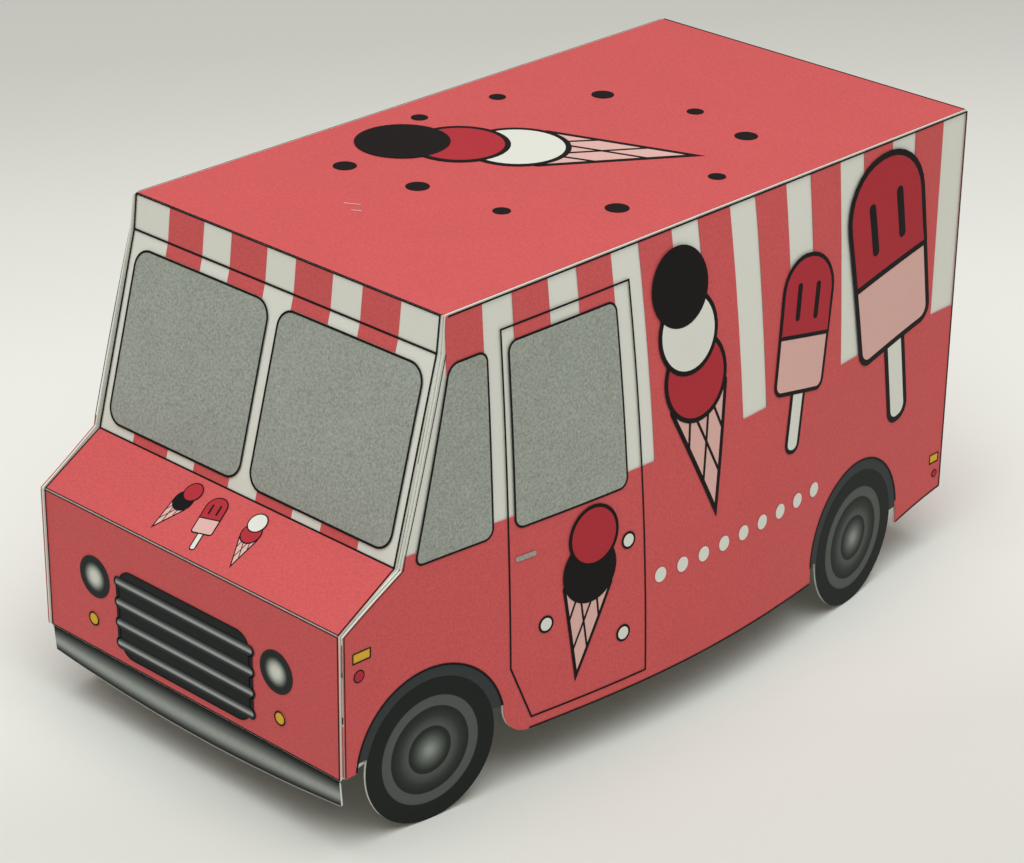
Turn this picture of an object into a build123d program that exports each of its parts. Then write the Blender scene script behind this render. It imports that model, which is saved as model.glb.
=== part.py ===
# Folded and glued card model of an ice cream truck, in millimetres.
# +Z is up, the front faces -Y, and the truck's own left side is +X.
# Stations are measured back from the face of the front panel, heights up from the ground.

import math
import os
from functools import partial

from build123d import *

os.makedirs("parts", exist_ok=True)

# Overall sizes
body_width = 70.0  # across the outer faces of the side panels, at the roof
body_length = 149.0  # from the face of the front panel to the face of the rear panel
roof_height = 84.0
card = 0.3  # thickness of the card
ink = 0.1  # thickness that stands for the printed ink
fold_margin = 0.15  # bare card left along each fold, where the ink cracks off
sheet_gap = 0.12  # room between curved sheets that lie on each other, for the glue or the ink's grip

# The strip that wraps over the body, from the bumper up and over to the rear
front_foot = 13.6  # height of the front panel's lower edge
bonnet_front = 38.6  # height of the fold between front panel and bonnet
screen_foot = (11.8, 45.6)  # station and height of the windscreen's lower fold
header_foot = 20.8  # station of the header's lower fold
header_height = 5.9  # from the header's lower fold up to the roof
roof_front = 21.5  # station of the roof's front fold
rear_foot = 11.5  # height of the rear panel's lower edge

# The side panels bow outwards, most of all at their free lower edge
foot_bow = 7.5  # at the middle of the foot
left_edge = 0.5  # the left side's front edge is glued on this far behind the strip
right_edge = -0.5  # the right side's stands this far in front of it

# Lower outline of the side panels, with the wheels cut in one with them
sill_height = 9.4
sill_corner = 5.0  # radius of the sill's corner behind the front wheel
front_tip = 13.8  # height of the front corner's underside
tail_inset = 14.0  # from the rear panel's face to the corner behind the rear wheel
tail_height = 9.3  # height of that corner
front_hub = 17.2  # station of the front hub
rear_hub_inset = 28.8  # from the rear panel's face to the rear hub
front_slot = 15.5  # height where the slots beside the front tyre stop
rear_slot = 12.8
tyre_radius = 12.5
arch_radius = 14.4

# Printed windows, stripes and marker lamps of the sides
belt_height = 47.5  # red below, stripes above
stripe_pitch = 14.12
stripe_white = 6.45  # width of a white stripe
first_white = 15.3  # station where the first full white stripe starts, with only white ahead of it
window_drop = 7.7  # from the roof to the windows' upper edge
window_foot = 45.1
window_corner = 1.9
quarter_front_foot = 14.4  # station of the quarter window's lower front corner
quarter_front_top = 22.1
quarter_rear = 30.1
door_window_front = 34.2
door_window_rear = 57.9
front_marker = (2.2, 33.05)  # station and height of the front marker's lower front corner
rear_marker_inset = 3.7  # from the rear panel's face to the rear marker's front edge
rear_marker_foot = 17.05
marker_height = 1.9
marker_length = 3.7
rear_marker_length = 2.7

# Printed lamps and grille of the front
front_shift = -1.0  # they are printed this far off the middle of the panel
lamp_spacing = 43.5
lamp_height = 27.0
lamp_radius = 3.7
indicator_spacing = 44.8
indicator_height = 19.1
indicator_radius = 1.15
grille_top = 31.0
grille_foot = 15.0
grille_width = 31.4  # across the dark field
grille_corner = 3.0
grille_bars = 4
grille_bar_width = 33.4  # the bars' ends stand out past the field
grille_bar = 1.5  # height of one bar
grille_bar_pitch = 3.7
grille_top_bar = 28.3  # height of the top bar

# Windscreen, header and rear stripes, and the windscreen's panes
strip_stripes_across = 4  # red ones, evenly about the middle
strip_stripe_red = 8.2  # width of a red stripe
strip_stripe_pitch = 14.8
pane_side = 1.6  # from the strip's edge to the pane
pane_post = 2.0  # white post between the panes
pane_margin = (1.7, 2.4)  # from the windscreen's lower fold, and from its upper fold
pane_corner = 3.2

# Bumper flap, free on its crease
crease_gap = 0.05
bumper_lean = 4.5  # degrees that the flap leans back from hanging straight
bumper_depth = 6.7  # at the middle
bumper_end_depth = 4.6
bumper_inset = 0.3  # each end stands this far in from the strip's edge

# Rear print
rear_window_side = 3.9  # from the strip's edge to the window
rear_window_post = 3.9  # between the windows
rear_window_gap = 0.4  # from the windows' lower edge to the belt
rear_lamp_size = (4.0, 7.0)
rear_lamp_inset = 3.0
rear_lamp_height = 18.0

strip_width = body_width - 2 * card
rear_hub = body_length - rear_hub_inset
window_top = roof_height - window_drop
nose_reach = max(-right_edge, 0.0)  # furthest point ahead of the front panel's face
front_y = (nose_reach - body_length - ink) / 2  # Y of the front panel's face
side_reach = body_width / 2 + foot_bow + arch_radius  # X past every bowed sheet


def station(distance):
    return front_y + distance


def write(name, part):
    part.label = name
    export_step(part, f"parts/{name}.step")


def parallel(points, distance):
    # Corners of the path that runs beside a folded path, on its inner side
    normals = []
    for (y0, z0), (y1, z1) in zip(points, points[1:]):
        run = math.hypot(y1 - y0, z1 - z0)
        normals.append(((z1 - z0) / run, (y0 - y1) / run))
    before = [normals[0]] + normals
    after = normals + [normals[-1]]
    corners = []
    for (y, z), (ay, az), (by, bz) in zip(points, before, after):
        reach = distance / (1 + ay * by + az * bz)
        corners.append((y + reach * (ay + by), z + reach * (az + bz)))
    return corners


# The strip: six panels of one piece of card, mitred where they fold
fold_path = [
    (station(0), front_foot),
    (station(0), bonnet_front),
    (station(screen_foot[0]), screen_foot[1]),
    (station(header_foot), roof_height - header_height),
    (station(roof_front), roof_height),
    (station(body_length), roof_height),
    (station(body_length), rear_foot),
]
inner_path = parallel(fold_path, card)
panel_names = ["front", "bonnet", "windscreen", "header", "roof", "rear"]
panel_face = {}
panel_run = {}

for index, name in enumerate(panel_names):
    start, end = fold_path[index], fold_path[index + 1]
    with BuildPart() as panel:
        with BuildSketch(Plane.YZ):
            Polygon(start, end, inner_path[index + 1], inner_path[index], align=None)
        extrude(amount=strip_width / 2, both=True)
    write(name, panel.part)
    run = math.hypot(end[0] - start[0], end[1] - start[1])
    outward = (0, (start[1] - end[1]) / run, (end[0] - start[0]) / run)
    panel_face[name] = Plane(origin=(0, *start), x_dir=(1, 0, 0), z_dir=outward)
    panel_run[name] = run


# Bowed face of a side panel: straight along the roof and at both ends, fullest at the foot's middle
bow_columns = 5
bow_rows = [1.0, 1.0, 0.0]  # share of the bow from the ground up, so that the foot hangs plumb
pole_lift = foot_bow * 8 / 3  # how far the middle pole stands out for the face to reach its bow
bow_start = station(min(left_edge, right_edge, 0.0))
bow_end = station(body_length)
bow_poles = []
for column in range(bow_columns):
    lift = pole_lift if column == bow_columns // 2 else 0.0
    pole_y = bow_start + (bow_end - bow_start) * column / (bow_columns - 1)
    heights = [roof_height * row / (len(bow_rows) - 1) for row in range(len(bow_rows))]
    bow_poles.append([(body_width / 2 + lift * share, pole_y, z) for share, z in zip(bow_rows, heights)])
bowed_face = Face.make_bezier_surface(bow_poles)


def cut_sheet(name, region, inner, outer, mirrored):
    # A piece of bowed sheet between two offsets from the bowed face, trimmed to a region seen from the side
    with BuildPart() as sheet:
        extrude(bowed_face.moved(Location((inner, 0, 0))), amount=outer - inner, dir=(1, 0, 0))
        extrude(region, amount=side_reach, mode=Mode.INTERSECT)
    write(name, sheet.part.mirror(Plane.YZ) if mirrored else sheet.part)


def cut_print(name, region, layers_below, mirrored):
    inner = sheet_gap + layers_below * (ink + sheet_gap)
    cut_sheet(name, region, inner, inner + ink, mirrored)


def hubs():
    return Locations((station(front_hub), tyre_radius), (station(rear_hub), tyre_radius))


def side_outline(edge):
    front_edge = parallel(fold_path[:6], edge)[1:4]
    sill_front = (station(front_hub + arch_radius), sill_height)
    Polygon(
        *front_edge,
        (station(roof_front) + edge, roof_height),
        (station(body_length), roof_height),
        (station(body_length), rear_foot),
        (station(body_length - tail_inset), tail_height),
        (station(body_length - tail_inset), rear_slot),
        (station(rear_hub - arch_radius), rear_slot),
        (station(rear_hub - arch_radius), sill_height),
        sill_front,
        (station(front_hub + arch_radius), front_slot),
        (station(front_hub - arch_radius), front_slot),
        (station(front_hub - arch_radius), front_tip),
        (station(edge), front_tip),
        align=None,
    )
    fillet(vertices().sort_by_distance((*sill_front, 0))[0], radius=sill_corner)
    with hubs():
        Circle(tyre_radius)


def windows():
    # Quarter window and door window: stations of the lower front, upper front and rear corners
    panes = [
        (quarter_front_foot, quarter_front_top, quarter_rear),
        (door_window_front, door_window_front, door_window_rear),
    ]
    for foot, top, rear in panes:
        Polygon(
            (station(foot), window_foot),
            (station(top), window_top),
            (station(rear), window_top),
            (station(rear), window_foot),
            align=None,
        )
    fillet(vertices(), radius=window_corner)


def markers(mode=Mode.ADD):
    rear_marker = body_length - rear_marker_inset
    with Locations((station(front_marker[0]), front_marker[1])):
        Rectangle(marker_length, marker_height, align=Align.MIN, mode=mode)
    with Locations((station(rear_marker), rear_marker_foot)):
        Rectangle(rear_marker_length, marker_height, align=Align.MIN, mode=mode)


def stripes():
    # Red ground of one side: all that is below the belt, and every other stripe above it
    with Locations((station(body_length / 2), belt_height)):
        Rectangle(2 * body_length, 2 * belt_height, align=(Align.CENTER, Align.MAX))
    first_red = first_white + stripe_white
    count = math.ceil((body_length - first_red) / stripe_pitch)
    for index in range(count):
        with Locations((station(first_red + index * stripe_pitch), belt_height)):
            Rectangle(stripe_pitch - stripe_white, roof_height - fold_margin - belt_height, align=Align.MIN)


# Glue tabs: panel, width of its tabs, and the slant of their first and last ends
tabs = [
    ("front", 7.0, 0.2, 0.65),
    ("bonnet", 5.0, 0.65, 0.3),
    ("windscreen", 7.0, 0.3, 0.3),
    ("header", 2.2, 0.3, 0.8),
    ("rear", 8.0, 0.3, 0.2),
]


def tab_outline(panel, width, first_slant, last_slant):
    index = panel_names.index(panel)
    (y0, z0), (y1, z1) = inner_path[index], inner_path[index + 1]
    run = math.hypot(y1 - y0, z1 - z0)
    along_y, along_z = (y1 - y0) / run, (z1 - z0) / run
    first = (first_slant * width, width)
    last = (run - last_slant * width, width)
    corners = [(0, 0), first, last, (run, 0)]
    Polygon(
        *[(y0 + a * along_y + n * along_z, z0 + a * along_z - n * along_y) for a, n in corners],
        align=None,
    )


tab_outer = -card - sheet_gap  # offset of the tabs' glued face from the bowed face

# Sides: name, how far the front edge is set back, and whether the piece is mirrored
sides = [
    ("left", left_edge, False),
    ("right", right_edge, True),
]

for side, edge, mirrored in sides:
    with BuildSketch(Plane.YZ) as outline:
        side_outline(edge)
    with BuildSketch(Plane.YZ) as ground:
        stripes()
    with BuildSketch(Plane.YZ) as red:
        add(outline.sketch_local)
        add(ground.sketch_local, mode=Mode.INTERSECT)
        markers(mode=Mode.SUBTRACT)
        with hubs():
            Circle(arch_radius, mode=Mode.SUBTRACT)
    with BuildSketch(Plane.YZ) as glass:
        windows()
    with BuildSketch(Plane.YZ) as arches:
        with hubs():
            Circle(arch_radius)
            Circle(tyre_radius, mode=Mode.SUBTRACT)
        add(outline.sketch_local, mode=Mode.INTERSECT)
    with BuildSketch(Plane.YZ) as tyres:
        with hubs():
            Circle(tyre_radius)
    with BuildSketch(Plane.YZ) as lamps:
        markers()
    cut_sheet(f"{side}_side", outline.sketch, -card, 0, mirrored)
    cut_print(f"{side}_red_print", red.sketch, 0, mirrored)
    cut_print(f"{side}_arch_print", arches.sketch, 0, mirrored)
    cut_print(f"{side}_tyre_print", tyres.sketch, 0, mirrored)
    cut_print(f"{side}_marker_print", lamps.sketch, 0, mirrored)
    cut_print(f"{side}_window_print", glass.sketch, 1, mirrored)
    for panel, width, first_slant, last_slant in tabs:
        with BuildSketch(Plane.YZ) as tab:
            tab_outline(panel, width, first_slant, last_slant)
        cut_sheet(f"{side}_{panel}_tab", tab.sketch, tab_outer - card, tab_outer, mirrored)


# Print on the strip, drawn across the panel from its first fold
def field(panel):
    with Locations((0, panel_run[panel] / 2)):
        Rectangle(strip_width, panel_run[panel] - 2 * fold_margin)


def strip_stripes(length):
    # Red stripes with a white one between the middle two, and white at both edges
    for index in range(strip_stripes_across):
        across = (index - (strip_stripes_across - 1) / 2) * strip_stripe_pitch
        with Locations((across, fold_margin)):
            Rectangle(strip_stripe_red, length - fold_margin, align=(Align.CENTER, Align.MIN))


def full_stripes(panel):
    strip_stripes(panel_run[panel] - fold_margin)


def front_pair(spacing, height, radius):
    places = [(front_shift + hand * spacing / 2, height - front_foot) for hand in (-1, 1)]
    with Locations(*places):
        Circle(radius)


def grille():
    with Locations((front_shift, (grille_top + grille_foot) / 2 - front_foot)):
        RectangleRounded(grille_width, grille_top - grille_foot, grille_corner)


def grille_bar_rows():
    bar_heights = [grille_top_bar - index * grille_bar_pitch for index in range(grille_bars)]
    with Locations(*[(front_shift, height - front_foot) for height in bar_heights]):
        Rectangle(grille_bar_width, grille_bar)


def panes():
    tall = panel_run["windscreen"] - sum(pane_margin)
    pane_width = (strip_width - pane_post) / 2 - pane_side
    across = (pane_width + pane_post) / 2
    with Locations(*[(hand * across, pane_margin[0] + tall / 2) for hand in (-1, 1)]):
        RectangleRounded(pane_width, tall, pane_corner)


def rear_windows(mode=Mode.ADD):
    wide = (strip_width - rear_window_post) / 2 - rear_window_side
    tall = window_top - belt_height - rear_window_gap
    across = (wide + rear_window_post) / 2
    with Locations(*[(hand * across, window_drop + tall / 2) for hand in (-1, 1)]):
        RectangleRounded(wide, tall, window_corner, mode=mode)


def rear_lamps(mode=Mode.ADD):
    across = strip_width / 2 - rear_lamp_inset - rear_lamp_size[0] / 2
    with Locations(*[(hand * across, roof_height - rear_lamp_height) for hand in (-1, 1)]):
        Rectangle(*rear_lamp_size, mode=mode)


def rear_field():
    strip_stripes(roof_height - belt_height)
    with Locations((0, roof_height - belt_height)):
        Rectangle(strip_width, belt_height - rear_foot, align=(Align.CENTER, Align.MIN))
    rear_windows(mode=Mode.SUBTRACT)
    rear_lamps(mode=Mode.SUBTRACT)


# Printed fields of the strip: node, panel, layers of ink below it, and outline
strip_prints = [
    ("front_red_print", "front", 0, partial(field, "front")),
    ("headlamp_print", "front", 1, partial(front_pair, lamp_spacing, lamp_height, lamp_radius)),
    ("indicator_print", "front", 1, partial(front_pair, indicator_spacing, indicator_height, indicator_radius)),
    ("grille_print", "front", 1, grille),
    ("grille_bar_print", "front", 2, grille_bar_rows),
    ("bonnet_red_print", "bonnet", 0, partial(field, "bonnet")),
    ("windscreen_stripe_print", "windscreen", 0, partial(full_stripes, "windscreen")),
    ("windscreen_pane_print", "windscreen", 1, panes),
    ("header_stripe_print", "header", 0, partial(full_stripes, "header")),
    ("roof_red_print", "roof", 0, partial(field, "roof")),
    ("rear_red_print", "rear", 0, rear_field),
    ("rear_window_print", "rear", 0, rear_windows),
    ("rear_lamp_print", "rear", 0, rear_lamps),
]

for name, panel, layer, outline in strip_prints:
    with BuildPart() as strip_print:
        with BuildSketch(panel_face[panel].offset(layer * ink)) as shape:
            outline()
        extrude(shape.sketch, amount=ink)
    write(name, strip_print.part)

# Bumper flap, hung from its crease below the front panel
lean = math.radians(bumper_lean)
crease = (0, station(card / 2), front_foot - crease_gap - card / 2)
flap_face = Plane(origin=crease, x_dir=(1, 0, 0), z_dir=(0, -math.cos(lean), -math.sin(lean)))
flap_half = strip_width / 2 - bumper_inset


def flap_outline(top, inset):
    half = flap_half - inset
    with BuildLine() as edge:
        Polyline((-half, -bumper_end_depth), (-half, -top), (half, -top), (half, -bumper_end_depth))
        ThreePointArc((-half, -bumper_end_depth), (0, -bumper_depth), (half, -bumper_end_depth))
    make_face(edge.edges())


with BuildPart() as bumper:
    with BuildSketch(flap_face):
        flap_outline(0, 0)
    extrude(amount=card / 2, both=True)
write("bumper", bumper.part)

with BuildPart() as bumper_print:
    with BuildSketch(flap_face.offset(card / 2)):
        flap_outline(fold_margin, 0)
    extrude(amount=ink)
write("bumper_print", bumper_print.part)
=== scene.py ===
import math

import bmesh
import bpy
from mathutils import Matrix, Vector


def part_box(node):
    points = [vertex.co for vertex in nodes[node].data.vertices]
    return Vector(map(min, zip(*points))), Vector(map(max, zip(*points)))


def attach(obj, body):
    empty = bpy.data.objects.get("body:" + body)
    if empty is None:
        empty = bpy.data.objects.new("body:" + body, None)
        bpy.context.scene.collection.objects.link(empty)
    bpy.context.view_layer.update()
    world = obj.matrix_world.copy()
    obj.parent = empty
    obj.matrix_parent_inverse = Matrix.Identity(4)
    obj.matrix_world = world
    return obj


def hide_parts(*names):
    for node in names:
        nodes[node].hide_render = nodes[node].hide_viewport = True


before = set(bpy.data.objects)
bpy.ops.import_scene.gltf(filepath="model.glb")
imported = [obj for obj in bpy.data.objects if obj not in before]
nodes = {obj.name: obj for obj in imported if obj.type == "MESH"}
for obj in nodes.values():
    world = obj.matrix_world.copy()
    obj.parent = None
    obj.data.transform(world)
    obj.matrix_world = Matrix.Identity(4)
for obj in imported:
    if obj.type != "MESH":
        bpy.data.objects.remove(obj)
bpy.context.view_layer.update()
mm = 0.001

# where the card lies, read from the frame
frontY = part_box("front")[0].y       # outer face of the front panel
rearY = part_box("rear")[1].y
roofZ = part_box("roof")[1].z
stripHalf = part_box("roof")[1].x
cardThickness = 0.3 * mm
halfWidth = stripHalf + cardThickness    # outer face of a side, along the roof
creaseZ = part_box("bumper")[1].z

# the sides bow outwards, fullest at the middle of the foot
sideForm = {"bow": 7.5 * mm, "start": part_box("right_side")[0].y, "end": rearY}

# both ends of each panel, as station behind the front panel's face and height, in mm
folds = {
    "front": ((0.0, 13.6), (0.0, 38.6)),
    "bonnet": ((0.0, 38.6), (11.8, 45.6)),
    "windscreen": ((11.8, 45.6), (20.8, 78.1)),
    "header": ((20.8, 78.1), (21.5, 84.0)),
    "roof": ((21.5, 84.0), (149.0, 84.0)),
    "rear": ((149.0, 84.0), (149.0, 11.5)),
    "bumper": ((0.53, 6.71), (0.0, 13.39)),
    "corner": ((0.6, 14.0), (0.6, 38.0)),        # cut edge of the left side, beside the front
}
# how a drawing lies over the ink that is already there, in mm
printLift = {"side": 0.27, "strip": 0.12, "flap": 0.01, "grille": 0.22, "layer": 0.035, "thickness": 0.03}
print("frame loaded,", len(nodes), "nodes")


def hexLinear(text):
    parts = [int(text[i:i + 2], 16) / 255 for i in (1, 3, 5)]
    return [p / 12.92 if p <= 0.04045 else ((p + 0.055) / 1.055) ** 2.4 for p in parts] + [1.0]


def addNode(tree, kind, settings=None, inputs=None):
    node = tree.nodes.new(kind)
    for name, value in (settings or {}).items():
        if name == "stops":
            # a colour ramp's stops, as place and hex
            while len(node.color_ramp.elements) < len(value):
                node.color_ramp.elements.new(1.0)
            for element, (place, colour) in zip(node.color_ramp.elements, value):
                element.position = place
                element.color = hexLinear(colour)
        else:
            setattr(node, name, value)
    for name, value in (inputs or {}).items():
        if isinstance(value, bpy.types.NodeSocket):
            tree.links.new(value, node.inputs[name])
        else:
            node.inputs[name].default_value = value
    return node


# Card and ink
cardFinish = {"roughness": 0.62, "gloss": 0.13,
              "fibre": 0.3 * mm, "fibreDepth": 0.012 * mm, "fibreShow": 0.5, "fibreDetail": 3.0}
# the printer's dots, drawn as coarse as they need to show, and broad patches that are added to them
dots = {"size": 0.42 * mm, "detail": 2.0, "grit": 0.6, "patch": 11.0 * mm, "patchShare": 0.12,
        "low": 0.31, "high": 0.81}


def startCard(name):
    # matt card: fine fibres that catch the light, no clear reflections
    material = bpy.data.materials.new(name)
    material.use_nodes = True
    tree = material.node_tree
    tree.nodes.clear()
    place = addNode(tree, "ShaderNodeTexCoord").outputs["Object"]
    fibres = addNode(tree, "ShaderNodeTexNoise", None,
                     {"Vector": place, "Scale": 1 / cardFinish["fibre"],
                      "Detail": cardFinish["fibreDetail"]})
    bump = addNode(tree, "ShaderNodeBump", None,
                   {"Height": fibres.outputs["Fac"], "Strength": cardFinish["fibreShow"],
                    "Distance": cardFinish["fibreDepth"]})
    shader = addNode(tree, "ShaderNodeBsdfPrincipled", None,
                     {"Roughness": cardFinish["roughness"], "Specular IOR Level": cardFinish["gloss"],
                      "Normal": bump.outputs["Normal"]})
    addNode(tree, "ShaderNodeOutputMaterial", None, {"Surface": shader.outputs["BSDF"]})
    return material, tree, place, shader


def speckleOver(tree, place, colour, shader, depth):
    # fine dots and broad soft patches, where the card took more or less ink
    speckle = addNode(tree, "ShaderNodeTexNoise", None,
                      {"Vector": place, "Scale": 1 / dots["size"], "Detail": dots["detail"],
                       "Roughness": dots["grit"]})
    patches = addNode(tree, "ShaderNodeTexNoise", None,
                      {"Vector": place, "Scale": 1 / dots["patch"], "Detail": dots["detail"]})
    both = addNode(tree, "ShaderNodeMath", {"operation": "MULTIPLY_ADD"},
                   {0: patches.outputs["Fac"], 1: dots["patchShare"], 2: speckle.outputs["Fac"]})
    spread = addNode(tree, "ShaderNodeMapRange", None,
                     {"Value": both.outputs["Value"], "From Min": dots["low"], "From Max": dots["high"],
                      "To Min": 1 - depth, "To Max": 1 + depth})
    toned = addNode(tree, "ShaderNodeVectorMath", {"operation": "SCALE"},
                    {0: colour, "Scale": spread.outputs["Result"]})
    tree.links.new(toned.outputs["Vector"], shader.inputs["Base Color"])


def plainInk(name, colour, depth):
    # inkjet on matt card: one even colour, broken up by the dots
    material, tree, place, shader = startCard(name)
    speckleOver(tree, place, hexLinear(colour)[:3], shader, depth)
    return material


def roundInk(name, rings, centres, flatten, depth):
    # a printed round thing, shaded in rings from its middle: radius in mm and colour
    material, tree, place, shader = startCard(name)
    flat = addNode(tree, "ShaderNodeVectorMath", {"operation": "MULTIPLY"}, {0: place, 1: flatten})
    reach = [addNode(tree, "ShaderNodeVectorMath", {"operation": "DISTANCE"},
                     {0: flat.outputs["Vector"], 1: centre}).outputs["Value"] for centre in centres]
    near = addNode(tree, "ShaderNodeMath", {"operation": "MINIMUM"}, {0: reach[0], 1: reach[1]})
    outer = rings[-1][0]
    share = addNode(tree, "ShaderNodeMath", {"operation": "DIVIDE"},
                    {0: near.outputs["Value"], 1: outer * mm})
    ramp = addNode(tree, "ShaderNodeValToRGB", {"stops": [(radius / outer, hue) for radius, hue in rings]},
                   {"Fac": share.outputs["Value"]})
    speckleOver(tree, place, ramp.outputs["Color"], shader, depth)
    return material


wheelPrint = {
    # stations and height of the hubs
    "hubs": (17.2, 120.2), "height": 12.5, "speckle": 0.05,
    # dark tyre, flat grey ring, and a dish and hub shaded to look round
    "rings": [(0.0, "#949E98"), (0.7, "#8D958E"), (1.6, "#6D7570"), (2.6, "#4A524D"), (3.5, "#2A302D"),
              (4.05, "#262A28"), (4.2, "#545A57"), (5.0, "#4A504D"), (5.9, "#353A37"), (7.0, "#272C29"),
              (7.5, "#262A27"), (7.62, "#565D59"), (9.25, "#545B57"), (9.4, "#1E2321"), (12.5, "#1D2221")],
}


def wheelInk():
    centres = [(0, frontY + hub * mm, wheelPrint["height"] * mm) for hub in wheelPrint["hubs"]]
    return roundInk("printedWheelCard", wheelPrint["rings"], centres, (0, 1, 1), wheelPrint["speckle"])


lampPrint = {
    "speckle": 0.05,
    # pale glow that fades into a dark bezel
    "rings": [(0.0, "#DCE2D7"), (0.9, "#D3DACE"), (1.5, "#AAB2AA"), (2.1, "#656D67"), (2.5, "#2F3331"),
              (2.75, "#232827"), (3.7, "#272B2B")],
}


def lampInk():
    low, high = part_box("headlamp_print")
    radius = (high.z - low.z) / 2
    centres = [(x, 0, low.z + radius) for x in (low.x + radius, high.x - radius)]
    return roundInk("printedLampCard", lampPrint["rings"], centres, (1, 0, 1), lampPrint["speckle"])


bumperPrint = {
    # depth below the crease at the middle and at the ends, and half the width
    "middleDepth": 6.7, "endDepth": 4.6, "half": 34.4, "speckle": 0.08,
    # share of the way from the crease to the lower edge, and colour: printed chrome, then bare card
    "bands": [(0.0, "#181A1A"), (0.1, "#242624"), (0.2, "#474D4C"), (0.28, "#5F6563"), (0.36, "#727974"),
              (0.44, "#8A928D"), (0.52, "#9BA39E"), (0.6, "#A0A9A5"), (0.68, "#98A09D"), (0.76, "#7E8380"),
              (0.84, "#585C59"), (0.91, "#303331"), (0.975, "#171817"), (0.985, "#BDC9C4")],
}


def bumperInk():
    # printed chrome on card: a grey band that is lightest below its middle, along a curved lower edge
    material, tree, place, shader = startCard("printedBumperCard")
    parts = addNode(tree, "ShaderNodeSeparateXYZ", None, {"Vector": place})
    across = addNode(tree, "ShaderNodeMath", {"operation": "MULTIPLY"},
                     {0: parts.outputs["X"], 1: parts.outputs["X"]})
    rise = (bumperPrint["middleDepth"] - bumperPrint["endDepth"]) * mm / (bumperPrint["half"] * mm) ** 2
    depth = addNode(tree, "ShaderNodeMath", {"operation": "MULTIPLY_ADD"},
                    {0: across.outputs["Value"], 1: -rise, 2: bumperPrint["middleDepth"] * mm})
    drop = addNode(tree, "ShaderNodeMath", {"operation": "SUBTRACT"}, {0: creaseZ, 1: parts.outputs["Z"]})
    share = addNode(tree, "ShaderNodeMath", {"operation": "DIVIDE"},
                    {0: drop.outputs["Value"], 1: depth.outputs["Value"]})
    ramp = addNode(tree, "ShaderNodeValToRGB", {"stops": bumperPrint["bands"]},
                   {"Fac": share.outputs["Value"]})
    speckleOver(tree, place, ramp.outputs["Color"], shader, bumperPrint["speckle"])
    return material


grillePrint = {
    "middle": -1.0, "topBar": 28.35, "pitch": 3.72, "count": 4, "length": 33.6, "height": 2.0,
    "corner": 0.96, "coreInset": 0.5, "coreTrim": 0.05, "coreCorner": 0.92, "fieldInset": 0.45,
    "speckle": 0.06,
    # height above a bar's middle, in mm, and colour
    "bands": [(-1.0, "#282B2B"), (-0.6, "#313434"), (-0.4, "#4E5352"), (-0.15, "#A9B0AF"),
              (0.1, "#9FA5A5"), (0.45, "#5B605F"), (0.8, "#313434"), (1.0, "#282B2B")],
}


def barInk():
    # printed chrome bars: a pale core that fades into the dark field above and below
    material, tree, place, shader = startCard("printedGrilleBarCard")
    parts = addNode(tree, "ShaderNodeSeparateXYZ", None, {"Vector": place})
    above = addNode(tree, "ShaderNodeMath", {"operation": "SUBTRACT"},
                    {0: parts.outputs["Z"], 1: grillePrint["topBar"] * mm})
    half = grillePrint["pitch"] / 2 * mm
    nearest = addNode(tree, "ShaderNodeMath", {"operation": "WRAP"},
                      {0: above.outputs["Value"], 1: half, 2: -half})
    low, high = grillePrint["bands"][0][0], grillePrint["bands"][-1][0]
    share = addNode(tree, "ShaderNodeMapRange", None,
                    {"Value": nearest.outputs["Value"], "From Min": low * mm, "From Max": high * mm})
    stops = [((height - low) / (high - low), colour) for height, colour in grillePrint["bands"]]
    ramp = addNode(tree, "ShaderNodeValToRGB", {"stops": stops}, {"Fac": share.outputs["Result"]})
    speckleOver(tree, place, ramp.outputs["Color"], shader, grillePrint["speckle"])
    return material


# finishes, each with the record's slot that it belongs to
materials = {
    "card": (plainInk("uncoatedWhiteCard", "#E1E6DC", 0.02), "card"),
    "red": (plainInk("redInkOnCard", "#D05C5D", 0.12), "red_ink"),
    "window": (plainInk("greyInkOnCard", "#9CA49B", 0.3), "window_ink"),
    "line": (plainInk("blackInkOnCard", "#151314", 0.1), "dark_ink"),
    "arch": (plainInk("darkGreyInkOnCard", "#363D3D", 0.06), "dark_ink"),
    "grille": (plainInk("deepGreyInkOnCard", "#1D2122", 0.06), "dark_ink"),
    "yellow": (plainInk("yellowInkOnCard", "#E3B53A", 0.05), "yellow_ink"),
    "deepRed": (plainInk("deepRedInkOnCard", "#B2323C", 0.05), "lamp_red_ink"),
    "pink": (plainInk("pinkInkOnCard", "#E0B6AE", 0.04), "red_ink"),
    "wheel": (wheelInk(), "tyre_ink"),
    "lamp": (lampInk(), "lamp_ink"),
    "bumper": (bumperInk(), "metal_look_ink"),
    "bar": (barInk(), "metal_look_ink"),
}
inkOrder = list(materials)      # a drawn face's material index is its ink's place here
print("materials made:", len(materials))

# which finish each printed node takes, by a word in its name; the others are bare card
finishWords = [("tyre", "wheel"), ("arch", "arch"), ("window_print", "window"), ("pane_print", "window"),
               ("marker", "yellow"), ("indicator", "yellow"), ("rear_lamp", "deepRed"),
               ("headlamp", "lamp"), ("grille_bar", "bar"), ("grille", "grille"),
               ("bumper_print", "bumper"), ("red_print", "red"), ("stripe_print", "red")]
for name, node in nodes.items():
    finish = next((word for part, word in finishWords if part in name and name.endswith("print")), "card")
    node.data.materials.clear()
    node.data.materials.append(materials[finish][0])


# Flat shapes of a drawing, in mm
shapeForm = {"cornerSteps": 8, "arcSteps": 48,
             "barEnd": 0.49}       # a line's round corners, as a share of its width: just too small to meet


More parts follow.
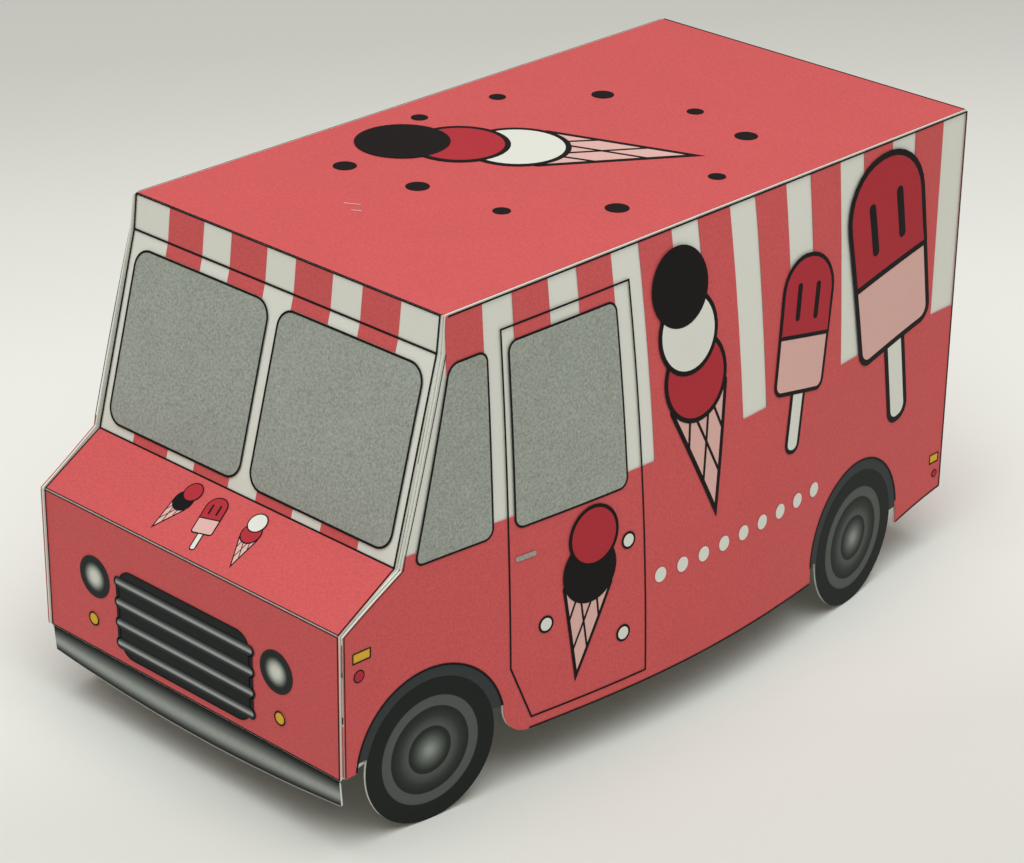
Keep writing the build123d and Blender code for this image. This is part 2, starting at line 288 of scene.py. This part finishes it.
def polygon(*corners):
    # corners as across, up and, where a corner is round, its radius
    shape = bmesh.new()
    verts = [shape.verts.new((corner[0], corner[1], 0)) for corner in corners]
    shape.faces.new(verts)
    for vert, corner in zip(verts, corners):
        if len(corner) > 2:
            bmesh.ops.bevel(shape, geom=[vert], offset=corner[2], affect="VERTICES",
                            segments=shapeForm["cornerSteps"], profile=0.5, material=-1)
    return shape


def box(left, low, right, high, lower=None, upper=None):
    # upright rectangle, with the radius of its lower corners and, where they differ, of its upper ones
    upper = upper or lower
    corners = [(left, low, lower), (right, low, lower), (right, high, upper), (left, high, upper)]
    return polygon(*[corner if corner[2] else corner[:2] for corner in corners])


def disc(across, up, radius, segments=40):
    shape = bmesh.new()
    bmesh.ops.create_circle(shape, cap_ends=True, segments=segments, radius=radius,
                            matrix=Matrix.Translation((across, up, 0)))
    return shape


def bar(start, end, width, rounded=False):
    # straight line of a given width, with square ends or with round ones past its two points
    start, end = Vector((*start, 0)), Vector((*end, 0))
    along = (end - start).normalized() * width / 2
    side = Vector((-along.y, along.x, 0))
    if rounded:
        start, end = start - along, end + along
    corners = [start - side, end - side, end + side, start + side]
    radius = (width * shapeForm["barEnd"],) if rounded else ()
    return polygon(*[(corner.x, corner.y, *radius) for corner in corners])


def arcBand(across, up, inner, outer, first, last):
    # part of a ring, from one angle to another
    shape = bmesh.new()
    turn = math.radians(first)
    ends = [shape.verts.new((radius * math.cos(turn), radius * math.sin(turn), 0))
            for radius in (inner, outer)]
    edge = shape.edges.new(ends)
    bmesh.ops.spin(shape, geom=[*ends, edge], axis=(0, 0, 1), cent=(0, 0, 0),
                   steps=shapeForm["arcSteps"], angle=math.radians(last - first))
    bmesh.ops.translate(shape, verts=shape.verts, vec=(across, up, 0))
    return shape


def addShape(drawing, shape, ink, rim=0.0, layer=0, where=Matrix()):
    # one ink of a drawing, with a black rim of a given width; without an ink only the rim stays
    faces = shape.faces[:]
    shape.normal_update()
    for face in faces:
        face.material_index = inkOrder.index(ink or "line")
    if rim:
        ring = bmesh.ops.inset_individual(shape, faces=faces, thickness=rim, use_even_offset=True)["faces"]
        for face in ring:
            face.material_index = inkOrder.index("line")
    if not ink:
        bmesh.ops.delete(shape, geom=faces, context="FACES")
    bmesh.ops.transform(shape, matrix=where, verts=shape.verts)
    bmesh.ops.translate(shape, verts=shape.verts, vec=(0, 0, layer * printLift["layer"]))
    flat = bpy.data.meshes.new("shape")
    shape.to_mesh(flat)
    shape.free()
    drawing.from_mesh(flat)
    bpy.data.meshes.remove(flat)


def motifPlace(across, up, turn, scale):
    return (Matrix.Translation((across, up, 0)) @ Matrix.Rotation(math.radians(turn), 4, "Z")
            @ Matrix.Diagonal((scale, scale, 1, 1)))


# Generic motifs: an ice cream cone and an ice lolly
coneForm = {"half": 8.0, "brim": 2.0, "brimCorner": 1.2, "tip": -23.0, "rim": 0.9,
            "hatch": 0.55, "hatchTop": 1.6, "hatchShares": (0.36, 0.68),
            "scoop": 8.2, "shrink": 0.94, "firstScoop": 5.0, "rise": 8.6}


def drawCone(drawing, where, scoops, layer=0):
    half, brim, tip, rim = (coneForm[key] for key in ("half", "brim", "tip", "rim"))
    corner = coneForm["brimCorner"]
    wafer = polygon((-half, brim, corner), (0, tip), (half, brim, corner))
    addShape(drawing, wafer, "pink", rim, layer, where)
    for share in coneForm["hatchShares"]:
        for hand in (-1, 1):
            # waffle lines, from the cone's upper edge down to one flank, parallel to the other
            start = (hand * half * (2 * share - 1), coneForm["hatchTop"])
            end = (hand * (half - rim) * (share - 1), brim + share * (tip - brim))
            addShape(drawing, bar(start, end, coneForm["hatch"]), "line", 0, layer + 1, where)
    for index, ink in enumerate(scoops):
        up = coneForm["firstScoop"] + index * coneForm["rise"]
        radius = coneForm["scoop"] * coneForm["shrink"] ** index
        addShape(drawing, disc(0, up, radius), ink, rim, layer + 2 + index, where)


lollyForm = {"half": 9.0, "height": 30.0, "crown": 8.64, "foot": 2.5, "dip": 12.0, "dipCorner": 0.6,
             "rim": 0.9, "stick": 2.6, "stickDrop": -13.0, "stickTop": 3.0, "stickCorner": 2.34,
             "groove": 3.2, "grooveFoot": 16.5, "grooveTop": 23.0, "grooveWidth": 1.5}


def drawLolly(drawing, where, layer=0):
    form = lollyForm
    half, height, crown, rim = (form[key] for key in ("half", "height", "crown", "rim"))
    stick = box(-form["stick"], form["stickDrop"], form["stick"], form["stickTop"], form["stickCorner"])
    addShape(drawing, stick, "card", rim, layer, where)
    addShape(drawing, box(-half, 0, half, height, form["foot"], crown), "pink", rim, layer + 1, where)
    coat = box(-half, form["dip"], half, height, form["dipCorner"], crown)
    addShape(drawing, coat, "deepRed", rim, layer + 2, where)
    for across in (-form["groove"], form["groove"]):
        groove = bar((across, form["grooveFoot"]), (across, form["grooveTop"]), form["grooveWidth"], True)
        addShape(drawing, groove, "line", 0, layer + 3, where)


# Laying a drawing on the card
def sideX(y, z):
    # share * (1 - share) is a quarter at its most, so 16 times its square is 1 there
    share = (y - sideForm["start"]) / (sideForm["end"] - sideForm["start"])
    return halfWidth + 16 * sideForm["bow"] * (share * (1 - share)) ** 2 * (1 - (z / roofZ) ** 2)


def onSide(hand):
    # across is the station behind the front panel's face, up is the height
    def place(point):
        y, z = frontY + point.x * mm, point.y * mm
        return Vector((hand * (sideX(y, z) + (printLift["side"] + point.z) * mm), y, z))
    return place, Vector((hand, 0, 0))


def onPanel(panel, lift=printLift["strip"]):
    # across is X, up runs along the panel from its first end
    (y0, z0), (y1, z1) = folds[panel]
    along = Vector((0, y1 - y0, z1 - z0)).normalized()
    facing = Vector((0, -along.z, along.y))
    corner = Vector((0, frontY / mm + y0, z0))

    def place(point):
        return (corner + Vector((point.x, 0, 0)) + along * point.y + facing * (lift + point.z)) * mm
    return place, facing


def addPiece(name, bm, ink, body="body"):
    material, slot = materials[ink]
    mesh = bpy.data.meshes.new(name)
    bm.to_mesh(mesh)
    bm.free()
    mesh.materials.append(material)
    piece = bpy.data.objects.new(name, mesh)
    bpy.context.scene.collection.objects.link(piece)
    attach(piece, body)
    return piece


slices = {"along": 4.0, "up": 6.0, "snap": 0.0005}      # a drawing is cut this fine to follow the bow


def sliceDrawing(drawing):
    spans = [(Vector((1, 0, 0)), slices["along"], rearY - frontY),
             (Vector((0, 1, 0)), slices["up"], roofZ)]
    for normal, step, reach in spans:
        for index in range(1, math.ceil(reach / mm / step)):
            everything = drawing.verts[:] + drawing.edges[:] + drawing.faces[:]
            bmesh.ops.bisect_plane(drawing, geom=everything, dist=slices["snap"],
                                   plane_co=normal * index * step, plane_no=normal)


def layPrint(name, drawing, place, facing, body="body"):
    # one closed piece for each ink of the drawing, as thick as the ink
    bmesh.ops.triangulate(drawing, faces=drawing.faces[:])
    for vert in drawing.verts:
        vert.co = place(vert.co)
    pieces = {}
    for index, ink in enumerate(inkOrder):
        sheet = drawing.copy()
        others = [face for face in sheet.faces if face.material_index != index]
        bmesh.ops.delete(sheet, geom=others, context="FACES")
        if not sheet.faces:
            sheet.free()
            continue
        for face in sheet.faces:
            face.material_index = 0
        raised = bmesh.ops.extrude_face_region(sheet, geom=sheet.faces[:])["geom"]
        tops = [item for item in raised if isinstance(item, bmesh.types.BMVert)]
        bmesh.ops.translate(sheet, verts=tops, vec=facing * printLift["thickness"] * mm)
        bmesh.ops.recalc_face_normals(sheet, faces=sheet.faces[:])
        pieces[ink] = addPiece(name + ink[0].upper() + ink[1:], sheet, ink, body)
    drawing.free()
    return pieces


# Print on the sides
sidePrint = {
    "windowRim": 0.38, "windowCorner": 1.9, "windowFoot": 45.1, "windowTop": 76.3,
    # stations of the lower front, upper front and rear corners
    "windows": [(14.4, 22.1, 30.1), (34.2, 34.2, 57.9)],
    "door": [(32.8, 78.7), (32.8, 21.4), (36.9, 11.3), (61.2, 11.3), (61.2, 78.7)], "doorLine": 0.32,
    "handle": ((34.6, 40.1), (37.9, 40.1)), "handleWidth": 0.8,
    # lower front corner and size
    "markers": [(2.2, 33.05, 3.7, 1.9), (145.3, 17.05, 2.7, 1.9)],
    # station, height and radius of the red reflectors
    "reflectors": [(3.5, 30.7, 1.1), (147.1, 14.8, 0.8)], "reflectorSteps": 24,
    "markerLine": 0.22, "archRadius": 14.3, "archLine": 0.36, "edgeLine": 0.3, "thinLine": 0.16,
    # where the line round each arch starts and ends, in degrees
    "archSpans": [(12, 174), (6, 180)],
    # ends of the lines along the cut edges
    "cutEdges": [((22.3, 83.8), (148.9, 83.8)), ((148.85, 11.7), (148.85, 83.9)),
                 ((36.6, 9.55), (105.7, 9.55)), ((135.2, 9.5), (148.9, 11.7))],
    # corners of the line along the front edge, as distance behind that edge and height
    "frontEdge": [(0.1, 14.0), (0.1, 38.4), (11.9, 45.4), (12.3, 47.5), (21.1, 78.0)],
}


def drawSide(edge):
    # edge is the station of the side's front edge
    drawing = bmesh.new()
    size = sidePrint
    for foot, top, rear in size["windows"]:
        corner, low, high = size["windowCorner"], size["windowFoot"], size["windowTop"]
        pane = polygon((foot, low, corner), (rear, low, corner), (rear, high, corner), (top, high, corner))
        addShape(drawing, pane, "window", size["windowRim"], 1)
    addShape(drawing, polygon(*size["door"]), None, size["doorLine"])
    for across, up, length, height in size["markers"]:
        addShape(drawing, box(across, up, across + length, up + height), None, size["markerLine"])
    for across, up, radius in size["reflectors"]:
        addShape(drawing, disc(across, up, radius, size["reflectorSteps"]), "deepRed", size["markerLine"])
    for hub, (first, last) in zip(wheelPrint["hubs"], size["archSpans"]):
        inner = size["archRadius"]
        line = arcBand(hub, wheelPrint["height"], inner, inner + size["archLine"], first, last)
        addShape(drawing, line, "line")
    for start, end in size["cutEdges"]:
        addShape(drawing, bar(start, end, size["edgeLine"]), "line")
    front = [(edge + behind, up) for behind, up in size["frontEdge"]]
    for start, end in zip(front, front[1:]):
        addShape(drawing, bar(start, end, size["thinLine"]), "line")
    return drawing


# station, height, turn in degrees, scale and, for a cone, its scoops from below
sideMotifs = [(131.0, 46.0, 9, 1.22, None), (75.2, 54.0, 8, 0.92, ["deepRed", "card", "line"]),
              (101.0, 47.0, -12, 0.8, None), (48.5, 30.2, -10, 0.68, ["line", "deepRed"])]
sideDots = {"first": 64.5, "pitch": 5.2, "count": 9, "up": 27.5, "radius": 1.3, "steps": 20,
            "door": [(40.0, 27.0), (57.5, 36.0), (56.0, 20.0)], "doorRadius": 1.5, "doorRim": 0.4}


def drawSideMotifs(drawing):
    for across, up, turn, scale, scoops in sideMotifs:
        place = motifPlace(across, up, turn, scale)
        if scoops:
            drawCone(drawing, place, scoops, 1)
        else:
            drawLolly(drawing, place, 1)
    for index in range(sideDots["count"]):
        across = sideDots["first"] + index * sideDots["pitch"]
        dot = disc(across, sideDots["up"], sideDots["radius"], sideDots["steps"])
        addShape(drawing, dot, "card", 0, 1)
    for across, up in sideDots["door"]:
        dot = disc(across, up, sideDots["doorRadius"], sideDots["steps"])
        addShape(drawing, dot, "card", sideDots["doorRim"], 1)
    addShape(drawing, bar(*sidePrint["handle"], sidePrint["handleWidth"], True), "window", 0, 2)


for hand, side in ((1, "left"), (-1, "right")):
    drawing = drawSide((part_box(side + "_side")[0].y - frontY) / mm)
    drawSideMotifs(drawing)
    sliceDrawing(drawing)
    pieces = layPrint(side + "Side", drawing, *onSide(hand))
    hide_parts(f"{side}_window_print")
print("sides printed")

# Print on the strip
stripPrint = {
    # lines beside the folds, right across the strip: panel, and both edges of the line along it, in mm
    "foldLines": [("bumper", 6.5, 6.69), ("front", 0.0, 0.18), ("front", 24.76, 24.94),
                  ("bonnet", 0.08, 0.22), ("bonnet", 13.52, 13.78),
                  ("windscreen", -0.05, 0.2), ("windscreen", 33.52, 33.8),
                  ("header", -0.05, 0.17), ("header", 5.78, 6.0),
                  ("roof", -0.05, 0.14), ("roof", 127.2, 127.5),
                  ("rear", 0.0, 0.25), ("rear", 72.2, 72.5)],
    # lines along both cut edges of a panel, as length and width
    "edgeLines": {"front": (25.0, 0.2), "bonnet": (13.72, 0.22), "windscreen": (33.72, 0.32),
                  "header": (5.94, 0.32), "rear": (72.5, 0.25)},
}


def drawStrip(panel):
    drawing = bmesh.new()
    half = stripHalf / mm
    for name, start, end in stripPrint["foldLines"]:
        if name == panel:
            addShape(drawing, box(-half, start, half, end), "line")
    if panel in stripPrint["edgeLines"]:
        run, width = stripPrint["edgeLines"][panel]
        for hand in (-1, 1):
            near, far = sorted((hand * half, hand * (half - width)))
            addShape(drawing, box(near, 0, far, run), "line", 0, 1)
    return drawing


roofPrint = {
    # across, up, turn in degrees and scale, and scoops from the cone on
    "cone": (-2.0, 62.0, 128, 1.12), "scoops": ["card", "deepRed", "line"], "dotSteps": 28,
    # place and radius
    "dots": [(-20, 32, 2.0), (-26, 74, 1.5), (-14, 88, 2.0), (3, 93, 1.5), (17, 90, 2.0),
             (26, 72, 1.5), (24, 50, 2.0), (12, 36, 1.5), (-5, 34, 2.0), (-28, 57, 1.5)],
    # ends of the scuffs where the ink has come off
    "scuffs": [((-8.0, 20.5), (-5.6, 21.9)), ((-5.0, 19.3), (-3.4, 20.1))], "scuffWidth": 0.13,
}


def drawRoof():
    drawing = drawStrip("roof")
    drawCone(drawing, motifPlace(*roofPrint["cone"]), roofPrint["scoops"])
    for across, up, radius in roofPrint["dots"]:
        addShape(drawing, disc(across, up, radius, roofPrint["dotSteps"]), "line", 0, 1)
    for start, end in roofPrint["scuffs"]:
        addShape(drawing, bar(start, end, roofPrint["scuffWidth"]), "card", 0, 1)
    return drawing


# across, up, turn in degrees and scale
bonnetPrint = {"firstCone": (-9.0, 7.4, -14, 0.24), "lolly": (-1.0, 4.8, 12, 0.24),
               "secondCone": (7.5, 7.4, 10, 0.24)}


def drawBonnet():
    drawing = drawStrip("bonnet")
    drawCone(drawing, motifPlace(*bonnetPrint["firstCone"]), ["line", "deepRed"])
    drawLolly(drawing, motifPlace(*bonnetPrint["lolly"]))
    drawCone(drawing, motifPlace(*bonnetPrint["secondCone"]), ["deepRed", "card"])
    return drawing


indicatorRing = {"line": 0.28, "past": 0.12, "steps": 28, "layer": 3}      # lies over the ink of the lamp


def drawFront():
    drawing = drawStrip("front")
    foot = folds["front"][0][1]
    low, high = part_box("indicator_print")
    radius = (high.z - low.z) / 2 / mm
    up = (high.z + low.z) / 2 / mm - foot
    for across in (low.x / mm + radius, high.x / mm - radius):
        ring = disc(across, up, radius + indicatorRing["past"], indicatorRing["steps"])
        addShape(drawing, ring, None, indicatorRing["line"], indicatorRing["layer"])
    return drawing


# ink rubbed along the left side's cut edge, as colour and both ends along that edge
rubbedInk = {"marks": [("red", 0.0, 9.0), ("line", 9.4, 10.6), ("pink", 10.6, 17.5), ("line", 17.5, 18.3),
                       ("red", 18.3, 23.0)],
             "inset": 0.03}       # bare card left on both sides of it


def drawCorner():
    drawing = bmesh.new()
    left, right = stripHalf / mm + rubbedInk["inset"], halfWidth / mm - rubbedInk["inset"]
    for ink, low, high in rubbedInk["marks"]:
        addShape(drawing, box(left, low, right, high), ink)
    return drawing


def drawGrille():
    # bars with round ends that stand out past the dark field
    drawing = bmesh.new()
    size = grillePrint
    foot = folds["front"][0][1]
    left, right = size["middle"] - size["length"] / 2, size["middle"] + size["length"] / 2
    lowest = size["topBar"] - (size["count"] - 1) * size["pitch"] - foot
    inset, trim, shift = size["coreInset"], size["coreTrim"], size["fieldInset"]
    addShape(drawing, box(left + shift, lowest, right - shift, size["topBar"] - foot), "grille")
    for index in range(size["count"]):
        middle = size["topBar"] - index * size["pitch"] - foot
        low, high = middle - size["height"] / 2, middle + size["height"] / 2
        addShape(drawing, box(left, low, right, high, size["corner"]), "grille")
        core = box(left + inset, low + trim, right - inset, high - trim, size["coreCorner"])
        addShape(drawing, core, "bar", 0, 1)
    return drawing


# weld joins a node's loose triangles, and a face belongs to the front from this cosine on
borderForm = {"weld": 0.002 * mm, "facing": 0.7, "lift": 0.02 * mm}


def borderLine(name, node, facing, width):
    # printed line along the edge of a node's outer face
    bm = bmesh.new()
    bm.from_mesh(nodes[node].data)
    bmesh.ops.remove_doubles(bm, verts=bm.verts, dist=borderForm["weld"])
    bm.normal_update()
    away = [face for face in bm.faces if face.normal.dot(facing) < borderForm["facing"]]
    bmesh.ops.delete(bm, geom=away, context="FACES")
    middle = bm.faces[:]
    bmesh.ops.inset_region(bm, faces=middle, thickness=width, use_boundary=True, use_even_offset=True)
    bmesh.ops.delete(bm, geom=middle, context="FACES")
    bmesh.ops.translate(bm, verts=bm.verts, vec=facing * borderForm["lift"])
    raised = bmesh.ops.extrude_face_region(bm, geom=bm.faces[:])["geom"]
    tops = [item for item in raised if isinstance(item, bmesh.types.BMVert)]
    bmesh.ops.translate(bm, verts=tops, vec=facing * printLift["thickness"] * mm)
    bmesh.ops.recalc_face_normals(bm, faces=bm.faces[:])
    addPiece(name, bm, "line")


stripDrawings = {"front": drawFront, "bonnet": drawBonnet, "roof": drawRoof, "corner": drawCorner}
for panel in folds:
    drawing = stripDrawings[panel]() if panel in stripDrawings else drawStrip(panel)
    if panel == "bumper":
        layPrint(panel, drawing, *onPanel(panel, printLift["flap"]), "bumper_flap")
    else:
        layPrint(panel, drawing, *onPanel(panel))
bars = layPrint("grille", drawGrille(), *onPanel("front", printLift["grille"]))
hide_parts("grille_bar_print")

# outlines that follow a printed field, as piece, node, panel and width in mm
fieldLines = [("paneLine", "windscreen_pane_print", "windscreen", 0.38),
              ("rearWindowLine", "rear_window_print", "rear", 0.42),
              ("grilleLine", "grille_print", "front", 0.22)]
for name, node, panel, width in fieldLines:
    borderLine(name, node, onPanel(panel)[1], width * mm)
print("strip printed")


# Camera, light and floor
# camera in mm and degrees, light and floor in metres
view = {"across": 338.42, "ahead": 280.41, "height": 269.80, "azimuth": 43.76, "elevation": 25.53,
        "roll": 0.66, "lens": 111.77, "sensor": 36.0}
light = {"place": (0.25, -0.24, 1.0), "aim": (0.0, 0.0, 0.05), "size": 1.0, "power": 9.7,
         "colour": "#F9FFFE", "sky": 0.39, "skyColour": "#FFEAE4"}
floorForm = {"radius": 4.0, "steps": 64, "roughness": 0.8, "gloss": 0.1,
             "towards": (-0.853, 0.517, 0.0), "from": -0.12, "to": 0.42,
             # share of the way back from the camera, and colour: painted light on a plain table, brightest
             # round the model and painted darker in front and far behind
             "paintedLightShades": [(0.0, "#DADDD8"), (0.13, "#E1E5DF"), (0.22, "#F1F6F1"), (0.32, "#F6FBF6"),
                        (0.46, "#F4F9F4"), (0.6, "#EBF0EB"), (0.72, "#DEE3DE"), (0.8, "#D8DDD8")]}


def addCamera():
    azimuth, elevation, roll = (math.radians(view[key]) for key in ("azimuth", "elevation", "roll"))
    back = Vector((math.sin(azimuth) * math.cos(elevation), -math.cos(azimuth) * math.cos(elevation),
                   math.sin(elevation)))
    right = (-back).cross(Vector((0, 0, 1))).normalized()
    up = back.cross(right)
    turned = right * math.cos(roll) + up * math.sin(roll)
    risen = up * math.cos(roll) - right * math.sin(roll)
    data = bpy.data.cameras.new("photoCamera")
    data.lens = view["lens"]
    data.sensor_fit = "HORIZONTAL"
    data.sensor_width = view["sensor"]
    camera = bpy.data.objects.new("photoCamera", data)
    axes = Matrix((turned, risen, back)).transposed().to_4x4()
    place = Vector((view["across"] * mm, frontY - view["ahead"] * mm, view["height"] * mm))
    camera.matrix_world = Matrix.Translation(place) @ axes
    bpy.context.scene.collection.objects.link(camera)
    bpy.context.scene.camera = camera


def addLight():
    data = bpy.data.lights.new("softbox", "AREA")
    data.size = light["size"]
    data.energy = light["power"]
    data.color = hexLinear(light["colour"])[:3]
    lamp = bpy.data.objects.new("softbox", data)
    lamp.location = light["place"]
    lamp.rotation_euler = (Vector(light["aim"]) - Vector(light["place"])).to_track_quat("-Z", "Y").to_euler()
    bpy.context.scene.collection.objects.link(lamp)
    world = bpy.data.worlds.new("paleRoom")
    world.use_nodes = True
    sky = world.node_tree.nodes["Background"]
    sky.inputs["Color"].default_value = hexLinear(light["skyColour"])
    sky.inputs["Strength"].default_value = light["sky"]
    bpy.context.scene.world = world


def addFloor():
    # plain matt table, pale, with painted light in its colour: lightest round the model and a little darker
    # in front and far behind, in place of the lamp's falloff
    material = bpy.data.materials.new("paleTablePaintedLight")
    material.use_nodes = True
    tree = material.node_tree
    place = addNode(tree, "ShaderNodeTexCoord").outputs["Object"]
    back = addNode(tree, "ShaderNodeVectorMath", {"operation": "DOT_PRODUCT"},
                   {0: place, 1: floorForm["towards"]})
    share = addNode(tree, "ShaderNodeMapRange", None,
                    {"Value": back.outputs["Value"], "From Min": floorForm["from"],
                     "From Max": floorForm["to"]})
    ramp = addNode(tree, "ShaderNodeValToRGB", {"stops": floorForm["paintedLightShades"]},
                   {"Fac": share.outputs["Result"]})
    shader = tree.nodes["Principled BSDF"]
    tree.links.new(ramp.outputs["Color"], shader.inputs["Base Color"])
    shader.inputs["Roughness"].default_value = floorForm["roughness"]
    shader.inputs["Specular IOR Level"].default_value = floorForm["gloss"]
    bm = bmesh.new()
    bmesh.ops.create_circle(bm, cap_ends=True, segments=floorForm["steps"], radius=floorForm["radius"])
    mesh = bpy.data.meshes.new("floor")
    bm.to_mesh(mesh)
    bm.free()
    mesh.materials.append(material)
    floor = bpy.data.objects.new("floor", mesh)
    bpy.context.scene.collection.objects.link(floor)


addCamera()
addLight()
addFloor()
bpy.context.scene.view_settings.view_transform = "Standard"
print("camera, light and floor set")
